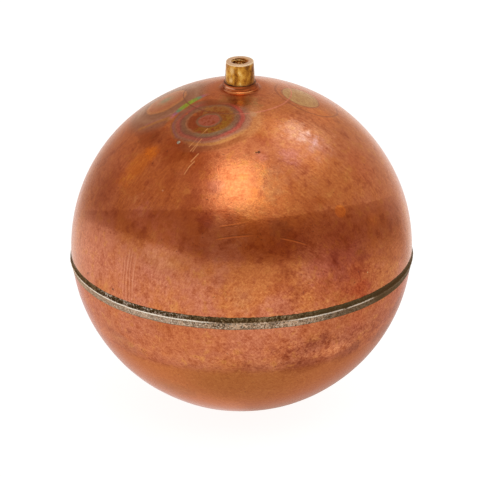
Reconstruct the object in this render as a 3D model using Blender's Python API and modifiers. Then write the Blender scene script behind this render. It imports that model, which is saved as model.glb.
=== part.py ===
"""Hollow copper ball float for a float valve.

Two spun copper half shells are lapped and soldered together below the ball's widest line. A short neck
drawn up at the top holds a brass spud with a blind tapped hole, into which the float rod screws.

Metres, +Z up. The origin is the centre of the spud's top face, at the mouth of the tapped hole, so the ball
hangs below it. Profiles are written about the upper shell's centre, and an empty places them all.
"""

import math

import bmesh
import bpy
from mathutils import Vector

# The copper shells
BALL_RADIUS = 0.0762  # outside of both halves: a 6 in ball
SHEET = 0.00064  # copper sheet thickness
LOWER_CENTRE = 0.0023  # the lower half's own centre, above the upper half's
GAP = 0.0003  # clearance between neighbouring pieces
FEATHER = 0.0001  # thickness of solder where it runs out to an edge

# The lap seam, as heights about the upper shell's centre
SWAGE_TOP = -0.0006  # where the upper rim starts to turn in
LIP = -0.0039  # top edge of the lower shell, outside the swaged rim
RIM_END = -0.0095  # bottom edge of the upper shell, hidden inside the lower one
SOLDER_TOP = -0.0012  # feathered top of the solder fillet
RIDGE = -0.0035  # the fillet's widest line, just above the lip
RIDGE_RADIUS = 0.07675
SOLDER_END = -0.0070  # crisp lower edge of the tinned band
TINNING = 0.00042  # the band's thickness

# The neck that holds the spud
NECK_HEIGHT = 0.00250  # above the ball's top
NECK_RADIUS = 0.00735  # outside, at its edge
NECK_FLARE = 0.00030  # added to the radius down to the shoulder
NECK_WALL = 0.00050  # the sheet is thinned where it is drawn
SHOULDER_RADIUS = 0.00068  # rounded bead at the foot of the neck
SHOULDER_OUT = 0.00795  # the bead's centre, from the axis
SHOULDER_DOWN = 0.00012  # the bead's centre, below the ball's top
SHOULDER_START = math.radians(30)  # where the bead's round leaves the neck, from +Z
SHOULDER_STOP = math.radians(100)  # and where it meets the ball

# The brass spud
SPUD_HEIGHT = 0.01215  # top face above the ball's top
SPUD_TOP_RADIUS = 0.00612
SPUD_NECK_RADIUS = 0.00670  # where it leaves the neck
SPUD_SHANK_RADIUS = 0.00650  # inside the neck and the disc
SPUD_EDGE = 0.00025  # rounding of the top edge
FLANGE_RADIUS = 0.0100
FLANGE_THICKNESS = 0.0020
FLANGE_CORNER = 0.0004

# The tapped hole, 5/16-18 UNC
THREAD_RADIUS = 0.003969
THREAD_PITCH = 0.001411
THREAD_FLANK = math.radians(30)  # half of the thread's 60 degrees
DRILL_RADIUS = 0.003264
DRILL_POINT = math.radians(59)  # half of a drill's 118 degree point
THREAD_DEPTH = 0.0115
MOUTH_RADIUS = 0.00415  # countersink at the mouth
COUNTERSINK_TURN = 0.13  # radians, so that its facets don't line up with the thread's

# The dished disc inside, under the neck
DISC_RADIUS = 0.02415  # of its edge
DISC_THICKNESS = 0.0008
DISC_OUTER = BALL_RADIUS - SHEET - 2 * GAP  # of the sphere that its upper side follows
DISC_INNER = DISC_OUTER - DISC_THICKNESS

# Solder at the spud, inside and out
NECK_BEAD = 0.00045
FLANGE_FILLET = 0.0022  # reach along the disc
FLANGE_FILLET_DROP = 0.0014  # reach down the flange's edge

# The vent and its drop of solder
VENT_DIRECTION = Vector((-0.35, -0.43, 0.83)).normalized()
VENT_RADIUS = 0.0006
PLUG_RADIUS = 0.00085
PLUG_HEIGHT = 0.00045
PLUG_STEM_RADIUS = 0.0003
PLUG_STEM_LENGTH = 0.0014

# Facets
STEPS = 48  # around the axis
SHELL_ROWS = 12  # from pole to rim
THREAD_STEPS = 24
SMALL_STEPS = 16
SHARP_ANGLE = math.radians(32)
SLIVER = 0.000003
MERGE = 0.00001
OVERSHOOT = 0.001  # how far a cutter stands out of what it cuts

OUTER_TOP = BALL_RADIUS + SPUD_HEIGHT


def clear_scene():
    for obj in list(bpy.data.objects):
        bpy.data.objects.remove(obj, do_unlink=True)


def new_collection(name):
    collection = bpy.data.collections.new(name)
    bpy.context.scene.collection.children.link(collection)
    return collection


def new_material(name, colour, roughness, metallic=1.0):
    material = bpy.data.materials.new(name)
    material.use_nodes = True
    shader = material.node_tree.nodes["Principled BSDF"]
    shader.inputs["Base Color"].default_value = (*colour, 1.0)
    shader.inputs["Roughness"].default_value = roughness
    shader.inputs["Metallic"].default_value = metallic
    return material


# Profiles are lists of (radius, height) points, and each outer side runs from top to bottom.


def arc(centre, radius, start, stop, count):
    """Points on a circle about (out, up), from one angle to another, measured down from +Z."""
    out, up = centre
    angles = [start + (stop - start) * i / count for i in range(count + 1)]
    return [(out + radius * math.sin(a), up + radius * math.cos(a)) for a in angles]


def polar_angle(radius, height):
    """Angle from +Z of the point at this height on a circle about the origin."""
    return math.acos(height / radius)


def sphere_height(radius, out):
    """Height of a sphere's upper side at this distance from the axis."""
    return math.sqrt(radius**2 - out**2)


def smooth_step(t):
    return t * t * (3 - 2 * t)


def neck_line(inset):
    """The neck and its shoulder, from the neck's edge down to the ball, inset by a share of the wall."""
    wall = NECK_WALL * inset / SHEET
    foot = BALL_RADIUS - SHOULDER_DOWN + SHOULDER_RADIUS
    edge = (NECK_RADIUS - wall, BALL_RADIUS + NECK_HEIGHT)
    crease = (NECK_RADIUS + NECK_FLARE - wall, foot - inset)
    centre = (SHOULDER_OUT, BALL_RADIUS - SHOULDER_DOWN)
    shoulder = arc(centre, SHOULDER_RADIUS, SHOULDER_START, SHOULDER_STOP, 4)
    return [edge, crease, *shoulder] if inset == 0 else [edge, crease]


def swage_line(inset):
    """The rim turned in to go inside the lower shell, from below the widest line to the hidden edge."""
    start = sphere_height(BALL_RADIUS - inset, SWAGE_TOP)
    tucked = BALL_RADIUS - SHEET - GAP - inset
    foot = LIP + GAP

    def tucked_radius(z):
        return math.sqrt(tucked**2 - (z - LOWER_CENTRE) ** 2)

    turns = [i / 4 for i in range(5)]
    swage = [
        (
            start + (tucked_radius(foot) - start) * smooth_step(t),
            SWAGE_TOP + (foot - SWAGE_TOP) * t,
        )
        for t in turns
    ]
    return [*swage, (tucked_radius(RIM_END), RIM_END)]


def upper_line(inset):
    """One side of the upper shell's wall, from the neck's edge to the hidden rim."""
    radius = BALL_RADIUS - inset
    top = math.asin((SHOULDER_OUT + SHOULDER_RADIUS + 2 * GAP - 2 * inset) / radius)
    rim = polar_angle(radius, SWAGE_TOP)
    ball = arc((0, 0), radius, top, rim, SHELL_ROWS)
    return [*neck_line(inset), *ball[:-1], *swage_line(inset)]


def upper_shell_profile():
    return [*upper_line(0), *reversed(upper_line(SHEET))]


def lower_shell_profile():
    """From the inner pole up to the lip and down the outside to the outer pole."""
    centre = (0, LOWER_CENTRE)
    inner, outer = BALL_RADIUS - SHEET, BALL_RADIUS
    lip = LIP - LOWER_CENTRE
    inside = arc(centre, inner, math.pi, polar_angle(inner, lip), SHELL_ROWS)
    outside = arc(centre, outer, polar_angle(outer, lip), math.pi, SHELL_ROWS)
    return [(0, inside[0][1]), *inside[1:], *outside[:-1], (0, outside[-1][1])]


def seam_solder_profile():
    """A fillet above the lip, the ridge, and the tinned band down the outside of the lower rim."""
    skin = BALL_RADIUS + GAP

    def band(z, thickness):
        return math.sqrt(skin**2 - (z - LOWER_CENTRE) ** 2) + thickness

    swage = [(r + GAP, z) for r, z in swage_line(0)[1:4]]
    feather = (swage[0][0] + FEATHER, SOLDER_TOP)
    steps = [i / 4 for i in range(1, 5)]
    fillet = [
        (
            feather[0] + (RIDGE_RADIUS - feather[0]) * t * t,
            SOLDER_TOP + (RIDGE - SOLDER_TOP) * t,
        )
        for t in steps
    ]
    heights = [RIDGE - GAP, (RIDGE + SOLDER_END) / 2, SOLDER_END]
    outside = [(band(z, TINNING), z) for z in heights]
    inside = [(band(z, 0), z) for z in (SOLDER_END - FEATHER, (RIDGE + SOLDER_END) / 2, LIP + GAP)]
    toe = (swage[-1][0] + FEATHER, LIP + GAP)
    return [feather, *fillet, *outside, *inside, toe, *reversed(swage)]


def spud_profile():
    """The brass blank, as one outer side from the axis at the top to the axis at the flange's foot."""
    top = OUTER_TOP
    neck_top = BALL_RADIUS + NECK_HEIGHT
    flange_top = sphere_height(DISC_INNER, FLANGE_RADIUS) - GAP
    flange_foot = flange_top - FLANGE_THICKNESS
    corner = (SPUD_TOP_RADIUS - SPUD_EDGE, top - SPUD_EDGE)
    rim = FLANGE_RADIUS - FLANGE_CORNER
    return [
        (0, top),
        *arc(corner, SPUD_EDGE, 0, math.pi / 2, 3),
        (SPUD_NECK_RADIUS, neck_top),
        (SPUD_SHANK_RADIUS, neck_top - 2 * GAP),
        (SPUD_SHANK_RADIUS, flange_top),
        (FLANGE_RADIUS, flange_top),
        *arc((rim, flange_foot + FLANGE_CORNER), FLANGE_CORNER, math.pi / 2, math.pi, 2),
        (0, flange_foot),
    ]


def countersink_profile():
    """The bevel at the hole's mouth, as a cone that stands out of it."""
    return [
        (0, OUTER_TOP + OVERSHOOT),
        (MOUTH_RADIUS + OVERSHOOT, OUTER_TOP + OVERSHOOT),
        (0, OUTER_TOP - MOUTH_RADIUS),
    ]


def reinforcing_disc_profile():
    def side(radius):
        hole = math.asin((SPUD_SHANK_RADIUS + GAP) / radius)
        edge = math.asin(DISC_RADIUS / radius)
        return arc((0, 0), radius, hole, edge, 4)

    return [*side(DISC_OUTER), *reversed(side(DISC_INNER))]


def neck_solder_profile():
    """A small hollow fillet on the neck's edge, against the brass."""
    foot = BALL_RADIUS + NECK_HEIGHT + GAP
    brass = SPUD_NECK_RADIUS + GAP
    hollow = arc((brass + NECK_BEAD, foot + NECK_BEAD), NECK_BEAD, -math.pi / 2, -math.pi, 3)
    return [*hollow, (brass, foot)]


def flange_solder_profile():
    """The fillet in the corner between the flange's edge and the disc's underside."""
    under = DISC_INNER - GAP
    start = FLANGE_RADIUS + GAP
    reach = start + FLANGE_FILLET
    drop = FLANGE_FILLET_DROP
    top = sphere_height(under, start)
    middle = (start + reach) / 2
    return [
        (start, top),
        (middle, sphere_height(under, middle)),
        (reach, sphere_height(under, reach)),
        (middle - GAP, sphere_height(under, middle) - drop / 2),
        (start, top - drop),
    ]


def vent_plug_profile():
    """A drop with a stem, about its own centre on the ball's surface."""
    crown = arc((0, GAP), PLUG_RADIUS, 0, math.pi / 2, 4)
    flatten = PLUG_HEIGHT / PLUG_RADIUS
    drop = [(r, GAP + (z - GAP) * flatten) for r, z in crown]
    stem_end = GAP - PLUG_STEM_LENGTH
    return [*drop, (PLUG_STEM_RADIUS, GAP), (PLUG_STEM_RADIUS, stem_end), (0, stem_end)]


def turn(name, profile, collection, ball, steps=STEPS, closed=False, pitch=0.0, turns=1):
    """An object turned about its own Z from a profile at +X. A pitch makes it a screw."""
    mesh = bpy.data.meshes.new(name)
    edges = [(i, i + 1) for i in range(len(profile) - 1)]
    if closed:
        edges.append((len(profile) - 1, 0))
    mesh.from_pydata([(r, 0, z) for r, z in profile], edges, [])
    obj = bpy.data.objects.new(name, mesh)
    collection.objects.link(obj)
    obj.parent = ball
    screw = obj.modifiers.new("Turn", "SCREW")
    screw.steps = steps
    screw.render_steps = steps
    screw.screw_offset = pitch
    screw.iterations = turns
    screw.use_merge_vertices = pitch == 0
    screw.merge_threshold = MERGE
    return obj


def apply_modifiers(obj):
    """Replace the object's mesh with its evaluated one."""
    bpy.context.view_layer.update()
    evaluated = obj.evaluated_get(bpy.context.evaluated_depsgraph_get())
    mesh = bpy.data.meshes.new_from_object(evaluated)
    mesh.name = obj.name
    obj.modifiers.clear()
    obj.data = mesh


def hide_cutter(obj):
    obj.hide_render = True
    obj.display_type = "WIRE"


def cut(obj, cutter):
    boolean = obj.modifiers.new("Cut", "BOOLEAN")
    boolean.operation = "DIFFERENCE"
    boolean.solver = "EXACT"
    boolean.object = cutter


def tidy_cuts(mesh):
    """Triangulate and merge away the slivers that a cut leaves."""
    solid = bmesh.new()
    solid.from_mesh(mesh)
    bmesh.ops.triangulate(solid, faces=solid.faces)
    bmesh.ops.dissolve_degenerate(solid, edges=solid.edges, dist=SLIVER)
    solid.to_mesh(mesh)
    solid.free()


def finish(obj, material):
    """Shade the finished mesh and give it its material."""
    was_cut = any(modifier.type == "BOOLEAN" for modifier in obj.modifiers)
    apply_modifiers(obj)
    if was_cut:
        tidy_cuts(obj.data)
    obj.data.shade_smooth()
    obj.data.set_sharp_from_angle(angle=SHARP_ANGLE)
    obj.data.materials.clear()
    obj.data.materials.append(material)


def rod_hole_cutter(collection, ball):
    """The drilled hole with its 60 degree thread, as a closed solid that stands out of the mouth."""
    turns = math.ceil(THREAD_DEPTH / THREAD_PITCH) + 1
    flank = (THREAD_RADIUS - DRILL_RADIUS) * math.tan(THREAD_FLANK)
    end = OUTER_TOP - THREAD_DEPTH
    profile = [
        (DRILL_RADIUS, end + THREAD_PITCH),
        (THREAD_RADIUS, end + THREAD_PITCH - flank),
        (DRILL_RADIUS, end + THREAD_PITCH - 2 * flank),
        (DRILL_RADIUS, end),
    ]
    cutter = turn("rod_hole_cutter", profile, collection, ball, THREAD_STEPS, pitch=THREAD_PITCH, turns=turns)
    apply_modifiers(cutter)
    solid = bmesh.new()
    solid.from_mesh(cutter.data)
    bmesh.ops.remove_doubles(solid, verts=solid.verts, dist=MERGE)
    open_edges = [edge for edge in solid.edges if edge.is_boundary]
    caps = bmesh.ops.holes_fill(solid, edges=open_edges)["faces"]
    middles = bmesh.ops.poke(solid, faces=caps)["verts"]
    bottom = min(middles, key=lambda vert: vert.co.z)
    bottom.co = (0, 0, end - DRILL_RADIUS / math.tan(DRILL_POINT))
    bmesh.ops.recalc_face_normals(solid, faces=solid.faces)
    solid.to_mesh(cutter.data)
    solid.free()
    hide_cutter(cutter)
    return cutter


def vent_cutter(collection, ball):
    mesh = bpy.data.meshes.new("vent_cutter")
    solid = bmesh.new()
    bmesh.ops.create_cone(
        solid,
        cap_ends=True,
        segments=SMALL_STEPS,
        radius1=VENT_RADIUS,
        radius2=VENT_RADIUS,
        depth=SHEET + 2 * OVERSHOOT,
    )
    solid.to_mesh(mesh)
    solid.free()
    cutter = bpy.data.objects.new("vent_cutter", mesh)
    collection.objects.link(cutter)
    cutter.parent = ball
    stand_on_ball(cutter)
    hide_cutter(cutter)
    return cutter


def stand_on_ball(obj):
    """Put an object on the ball's surface at the vent, with its Z pointing outwards."""
    obj.location = VENT_DIRECTION * BALL_RADIUS
    obj.rotation_mode = "QUATERNION"
    obj.rotation_quaternion = VENT_DIRECTION.to_track_quat("Z", "Y")


def build():
    clear_scene()
    parts = new_collection("ball_float")
    cutters = new_collection("cutters")

    copper = new_material("copper_sheet", (0.60, 0.24, 0.11), 0.35)
    inner_copper = new_material("copper_disc", (0.64, 0.28, 0.15), 0.40)
    brass = new_material("brass", (0.55, 0.34, 0.10), 0.35)
    solder = new_material("solder", (0.24, 0.22, 0.18), 0.55)

    ball = bpy.data.objects.new("ball_centre", None)
    ball.location = (0, 0, -OUTER_TOP)
    parts.objects.link(ball)

    upper_shell = turn("upper_shell", upper_shell_profile(), parts, ball, closed=True)
    cut(upper_shell, vent_cutter(cutters, ball))
    finish(upper_shell, copper)

    lower_shell = turn("lower_shell", lower_shell_profile(), parts, ball)
    finish(lower_shell, copper)

    seam_solder = turn("seam_solder", seam_solder_profile(), parts, ball, closed=True)
    finish(seam_solder, solder)

    countersink = turn("countersink_cutter", countersink_profile(), cutters, ball, SMALL_STEPS)
    countersink.rotation_euler.z = COUNTERSINK_TURN
    hide_cutter(countersink)
    spud = turn("spud", spud_profile(), parts, ball)
    cut(spud, rod_hole_cutter(cutters, ball))
    cut(spud, countersink)
    finish(spud, brass)

    reinforcing_disc = turn("reinforcing_disc", reinforcing_disc_profile(), parts, ball, closed=True)
    finish(reinforcing_disc, inner_copper)

    neck_solder = turn("neck_solder", neck_solder_profile(), parts, ball, closed=True)
    finish(neck_solder, solder)

    flange_solder = turn("flange_solder", flange_solder_profile(), parts, ball, closed=True)
    finish(flange_solder, solder)

    vent_plug = turn("vent_plug", vent_plug_profile(), parts, ball, SMALL_STEPS)
    stand_on_ball(vent_plug)
    finish(vent_plug, solder)


build()
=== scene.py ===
"""Looks for the copper ball float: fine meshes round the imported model, tarnished metal, floor and light."""

import math

import bmesh
import bpy
import numpy as np
from mathutils import Matrix, Vector, noise


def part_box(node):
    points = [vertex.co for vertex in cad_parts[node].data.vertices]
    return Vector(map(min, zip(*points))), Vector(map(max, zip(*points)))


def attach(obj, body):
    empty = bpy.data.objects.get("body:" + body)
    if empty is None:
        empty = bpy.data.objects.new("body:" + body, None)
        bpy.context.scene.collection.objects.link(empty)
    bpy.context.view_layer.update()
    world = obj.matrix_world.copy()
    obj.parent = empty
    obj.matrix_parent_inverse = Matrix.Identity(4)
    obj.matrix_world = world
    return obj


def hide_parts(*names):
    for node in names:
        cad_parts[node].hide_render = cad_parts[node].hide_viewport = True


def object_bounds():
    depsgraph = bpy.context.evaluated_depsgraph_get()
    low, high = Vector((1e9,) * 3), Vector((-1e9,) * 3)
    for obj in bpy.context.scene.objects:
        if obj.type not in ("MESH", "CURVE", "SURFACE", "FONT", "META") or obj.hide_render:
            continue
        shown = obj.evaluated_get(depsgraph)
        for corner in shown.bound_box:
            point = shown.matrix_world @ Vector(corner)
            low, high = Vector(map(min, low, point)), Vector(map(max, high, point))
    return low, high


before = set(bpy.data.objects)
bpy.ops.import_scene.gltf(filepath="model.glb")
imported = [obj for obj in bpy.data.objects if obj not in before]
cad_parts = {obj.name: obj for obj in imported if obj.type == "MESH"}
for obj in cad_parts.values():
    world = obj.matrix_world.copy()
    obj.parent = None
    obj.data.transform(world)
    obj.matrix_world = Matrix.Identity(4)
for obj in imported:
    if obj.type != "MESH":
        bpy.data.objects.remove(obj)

cad_box = [list(corner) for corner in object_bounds()]

MM = 0.001

# The design's own sizes, in millimetres about the upper shell's centre
BALL = 76.2
SHEET = 0.64
LOWER_UP = 2.3
NECK_HEIGHT = 2.5
NECK_RADIUS = 7.35
NECK_FLARE = 0.3
SHOULDER = (7.95, -0.12, 0.68)
SWAGE_TOP, SWAGE_END, RIM_END = -0.6, -3.6, -9.5
LIP = -3.9
GAP = 0.3
SPUD_SHANK, SPUD_NECK, SPUD_RIM = 6.5, 6.7, 6.12
SPUD_MIDDLE = 6.4
RIM_ROUND = 0.25
FLANGE = 10.0
THREAD = (3.264, 3.969, 1.411, 11.5)
MOUTH = 4.15

# How many vertices go round the axis
SHELL_STEPS, SEAM_STEPS, SPUD_STEPS, NECK_STEPS = 288, 1280, 128, 192

CENTRE = Vector((0, 0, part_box("upper_shell")[1].z - (NECK_HEIGHT + BALL) * MM))
SPUD_TOP = (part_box("spud")[1].z - CENTRE.z) / MM
SPUD_FOOT = (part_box("spud")[0].z - CENTRE.z) / MM


# ---- meshes


def put(name, data):
    """Add an object with that data to the scene."""
    made = bpy.data.objects.new(name, data)
    bpy.context.scene.collection.objects.link(made)
    return made


def turns(steps):
    """The angles of the vertices round the axis."""
    return np.arange(steps) * 2 * math.pi / steps


def grid_mesh(name, radii, heights, ends, across=None):
    """A turned mesh from rows of radii and heights round the axis, in millimetres about the centre.

    ends is ring, where the last row joins the first, or poles, where both end rows are on the axis.
    across gives each row a number that the material can read.
    """
    rows, steps = radii.shape
    turn = turns(steps)
    points = np.stack([radii * np.cos(turn), radii * np.sin(turn), heights], axis=2) * MM
    points += np.array(CENTRE)
    faces = []
    last = rows if ends == "ring" else rows - 1
    for i in range(last):
        a, b = i * steps, (i + 1) % rows * steps
        faces += [(a + j, b + j, b + (j + 1) % steps, a + (j + 1) % steps) for j in range(steps)]
    mesh = bpy.data.meshes.new(name)
    mesh.from_pydata(points.reshape(-1, 3).tolist(), [], faces)
    if across is not None:
        layer = mesh.attributes.new("across", "FLOAT", "POINT")
        layer.data.foreach_set("value", np.repeat(np.array(across, np.float32), steps))
    shape = bmesh.new()
    shape.from_mesh(mesh)
    bmesh.ops.remove_doubles(shape, verts=shape.verts, dist=1e-7)
    bmesh.ops.recalc_face_normals(shape, faces=shape.faces)
    shape.to_mesh(mesh)
    shape.free()
    mesh.shade_smooth()
    mesh.set_sharp_from_angle(angle=math.radians(40))
    return put(name, mesh)


def turned_mesh(name, outline, ends):
    """A turned mesh from the radius and height of each row."""
    radii, heights = (np.repeat(np.array(values)[:, None], SHELL_STEPS, axis=1) for values in zip(*outline))
    return grid_mesh(name, radii, heights, ends)


def arc(out, up, radius, start, stop, count):
    """Points of an arc in the section, with its angles counted from straight up."""
    angles = np.linspace(start, stop, count + 1)
    return [(out + radius * math.sin(a), up + radius * math.cos(a)) for a in angles]


def smooth(t):
    """0 below 0, 1 above 1, eased between."""
    t = np.clip(t, 0.0, 1.0)
    return t * t * (3 - 2 * t)


def between(a, b, count):
    """Points from a to b, both left in."""
    return [(a[0] + (b[0] - a[0]) * i / count, a[1] + (b[1] - a[1]) * i / count) for i in range(count + 1)]


def dimple(piece, size, grain, amount, keep):
    """Move each vertex along its line from the ball's centre by smooth noise, less where keep says so."""
    for vert in piece.data.vertices:
        out = vert.co - CENTRE
        at = out / MM
        push = amount * noise.noise(at / size) + 0.25 * amount * noise.noise(at / grain)
        vert.co += out.normalized() * push * keep(at) * MM


def swage_line(inset, count):
    """The upper half's rim below the equator: it steps inwards, then runs on just inside the lower half."""
    start = math.sqrt((BALL - inset) ** 2 - SWAGE_TOP**2)
    tucked = BALL - SHEET - GAP - inset

    def tucked_radius(z):
        return math.sqrt(tucked**2 - (z - LOWER_UP) ** 2)

    line = []
    for i in range(1, count + 1):
        t = i / count
        radius = start + (tucked_radius(SWAGE_END) - start) * smooth(t)
        line.append((radius, SWAGE_TOP + (SWAGE_END - SWAGE_TOP) * t))
    for i in range(1, 5):
        z = SWAGE_END + (RIM_END - SWAGE_END) * i / 4
        line.append((tucked_radius(z), z))
    return line


def make_upper_shell():
    """The upper half: neck, bead, ball and swaged rim outside, and the same line a sheet's thickness in."""
    out, down, round_off = SHOULDER
    edge = BALL + NECK_HEIGHT
    neck = [(NECK_RADIUS - 0.14, edge), (NECK_RADIUS - 0.04, edge - 0.04), (NECK_RADIUS, edge - 0.16)]
    foot_up = BALL + down + round_off
    side = between((NECK_RADIUS + 0.01, edge - 0.3), (NECK_RADIUS + NECK_FLARE, foot_up + 0.15), 5)
    crease = [(NECK_RADIUS + NECK_FLARE + 0.03, foot_up), (NECK_RADIUS + NECK_FLARE + 0.09, foot_up - 0.09)]
    bead = arc(out, BALL + down, round_off, math.radians(14), math.radians(106), 8)
    foot = math.asin((out + round_off + 0.42) / BALL)
    ball = arc(0, 0, BALL, foot, math.acos(SWAGE_TOP / BALL), 150)
    outside = [*neck, *side, *crease, *bead, *ball, *swage_line(0, 8)]
    inner = BALL - SHEET
    inner_foot = math.asin((out + 0.3) / inner)
    inner_ball = arc(0, 0, inner, inner_foot, math.acos(SWAGE_TOP / inner), 30)
    inner_neck = [(NECK_RADIUS - 0.5, edge - 0.04), (NECK_RADIUS - 0.44, BALL + 0.2)]
    inside = [*inner_neck, *inner_ball, *swage_line(SHEET, 6)]
    piece = turned_mesh("upper_shell_skin", [*outside, *reversed(inside)], "ring")

    def keep(at):
        flat = math.hypot(at.x, at.y)
        return float(smooth((flat - 10) / 14) * smooth((at.z + 1) / 14))

    dimple(piece, 31, 9, 0.16, keep)
    return piece


def make_lower_shell():
    """The lower half, a plain bowl whose lip stands outside the swaged rim."""
    lip = LIP - LOWER_UP
    inner, outer = BALL - SHEET, BALL
    inside = arc(0, LOWER_UP, inner, math.pi, math.acos(lip / inner), 30)
    outside = arc(0, LOWER_UP, outer, math.acos(lip / outer), math.pi, 130)
    outline = [(0.0, LOWER_UP - inner), *inside[1:], *outside[:-1], (0.0, LOWER_UP - outer)]
    piece = turned_mesh("lower_shell_skin", outline, "poles")

    def keep(at):
        return float(smooth((-6 - at.z) / 14) * smooth((at.z + 74) / 6))

    dimple(piece, 27, 8, 0.16, keep)
    return piece


def make_seam_solder():
    """The steep dark fillet over the lip, with a ragged top, the ridge, and the thin tinned band below it."""
    round_it = [(math.cos(a) * BALL, math.sin(a) * BALL) for a in turns(SEAM_STEPS)]

    def lumps(scale, seed, height=0.0):
        up = seed + height / scale
        return np.array([noise.noise(Vector((x / scale, y / scale, up))) for x, y in round_it])

    wander = 0.14 * lumps(9, 1.5)
    top = -0.95 + 0.24 * lumps(2.6, 4.2) + 0.22 * lumps(0.9, 7.7) + wander
    ridge = -3.42 + 0.1 * lumps(5.0, 2.1) + wander
    end = -6.98 + 0.1 * lumps(4.0, 9.4) + 0.05 * lumps(1.2, 3.3) + wander
    proud = 1.0 + 0.16 * lumps(3.1, 5.9) + 0.08 * lumps(1.1, 6.4)
    radii, heights, across = [], [], []

    def row(t, z, r):
        across.append(t)
        heights.append(z)
        radii.append(r)

    # How far down the fillet, from its top to the ridge, and how proud of the upper half
    fillet = [
        (0, -0.04), (0.06, 0.05), (0.16, 0.03), (0.28, -0.03), (0.42, -0.04), (0.56, 0.04),
        (0.68, 0.14), (0.79, 0.27), (0.88, 0.39), (0.94, 0.47), (0.98, 0.505), (1.0, 0.51),
    ]
    for i, (t, out) in enumerate(fillet):
        grain = 0.1 * lumps(0.7, 11.0, i * 0.3) + 0.06 * lumps(1.7, 13.0, i * 0.3)
        calm = 1.0 - smooth((t - 0.75) / 0.2)
        row(t - 1.0, top + (ridge - top) * t, 76.16 + out * (proud if out > 0 else 1.0) + grain * calm)
    # How far down the tinned band, from the ridge to its foot, and how proud of the lower half
    band = [
        (0.03, 0.71), (0.07, 0.68), (0.12, 0.6), (0.18, 0.5), (0.25, 0.41), (0.34, 0.34),
        (0.44, 0.3), (0.54, 0.28),
        (0.64, 0.26), (0.74, 0.24), (0.83, 0.22), (0.9, 0.2), (0.95, 0.16), (0.985, 0.08), (1.0, -0.05),
    ]
    for i, (t, out) in enumerate(band):
        z = ridge + (end - ridge) * t
        grain = 0.05 * lumps(0.8, 21.0, i * 0.3) + 0.04 * lumps(1.9, 23.0, i * 0.3)
        rough = smooth((t - 0.08) / 0.2) * (1.0 - smooth((t - 0.93) / 0.06))
        lower_half = np.sqrt(BALL**2 - (z - LOWER_UP) ** 2)
        row(t, z, lower_half + out * (1.0 + (proud - 1.0) * (1 - t)) + grain * rough)
    under = np.sqrt(BALL**2 - (-5.0 - LOWER_UP) ** 2) - 0.08
    for z, r in [(-5.0, under), (-3.95, under + 0.03), (-3.8, 75.2), (-2.8, 75.3)]:
        row(0.5, np.full(SEAM_STEPS, z), np.full(SEAM_STEPS, r))
    return grid_mesh("seam_solder_bead", np.array(radii), np.array(heights), "ring", across)


def make_spud():
    """The brass spud, with a 60 degree thread in its hole and a slightly worn outside."""
    turn = turns(SPUD_STEPS)
    drill, major, pitch, depth = THREAD
    floor = SPUD_TOP - depth
    rows = []

    def row(r, z):
        rows.append((r + np.zeros(SPUD_STEPS), z + np.zeros(SPUD_STEPS)))

    tip = floor - drill / math.tan(math.radians(59))
    for i in range(5):
        t = i / 4
        row(max(drill * t, 0.0), tip + (floor - tip) * t)
    thread_rows, bevel_slope = 132, 0.3
    mouth_z = SPUD_TOP - (MOUTH - drill) * bevel_slope
    for i in range(1, thread_rows):
        z = floor + (SPUD_TOP - floor) * i / thread_rows
        phase = (z / pitch - turn / (2 * math.pi)) % 1.0
        groove = np.clip((np.abs(phase - 0.5) * 2 - 0.42) / 0.52, 0, 1)
        fade = smooth((z - floor) / 0.8)
        r = drill + (major - drill) * groove * fade
        bevel = drill + max(0.0, z - mouth_z) / bevel_slope
        row(np.maximum(r, bevel), z)
    row(MOUTH, SPUD_TOP)
    for r in (4.3, 4.7, 5.2):
        row(r, SPUD_TOP)
    neck_top = BALL + NECK_HEIGHT
    flange_top = SPUD_FOOT + 2.0
    for r, z in [
        *arc(SPUD_RIM - RIM_ROUND, SPUD_TOP - RIM_ROUND, RIM_ROUND, 0.02, math.pi / 2, 5),
        *between((SPUD_RIM, SPUD_TOP - RIM_ROUND), (SPUD_NECK, neck_top), 28)[1:],
        (6.66, neck_top - 0.3), (SPUD_SHANK, neck_top - 0.6), (SPUD_SHANK, flange_top), (FLANGE, flange_top),
        (FLANGE, SPUD_FOOT + 0.4), (9.88, SPUD_FOOT + 0.12), (9.6, SPUD_FOOT), (5.0, SPUD_FOOT),
        (0.0, SPUD_FOOT),
    ]:
        row(r, z)
    piece = grid_mesh("spud_body", np.array([r for r, z in rows]), np.array([z for r, z in rows]), "poles")
    for vert in piece.data.vertices:
        at = (vert.co - CENTRE) / MM
        flat = math.hypot(at.x, at.y)
        if flat > 5.5 and at.z > neck_top + 0.1:
            squash = 0.1 * noise.noise(at / 4.0) + 0.05 * noise.noise(at / 1.3)
            away = Vector((at.x, at.y, 0)).normalized()
            vert.co += away * squash * MM
    return piece


def make_neck_solder():
    """A thin uneven fillet where the brass leaves the neck, with one fat blob."""
    turn = turns(NECK_STEPS)
    base = BALL + NECK_HEIGHT
    lump = np.array([noise.noise(Vector((math.cos(a) * 3, math.sin(a) * 3, 0.7))) for a in turn])
    blob = np.exp(-(((turn - math.radians(232)) / 0.3) ** 2))
    height = 0.16 + 0.1 * lump + 0.3 * blob
    width = 0.26 + 0.1 * lump + 0.16 * blob
    brass = 6.68
    radii, heights = [], []
    for i in range(7):
        a = i / 6 * math.pi / 2
        radii.append(brass + width * (1 - math.cos(a)) + 0.02)
        heights.append(base + height * (1 - math.sin(a)) + 0.02)
    level = np.zeros(NECK_STEPS)
    radii += [brass + width, level + brass - 0.1, level + brass - 0.12]
    heights += [level + base - 0.12, level + base - 0.14, base + height * 0.9]
    return grid_mesh("neck_solder_fillet", np.array(radii), np.array(heights), "ring")


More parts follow.
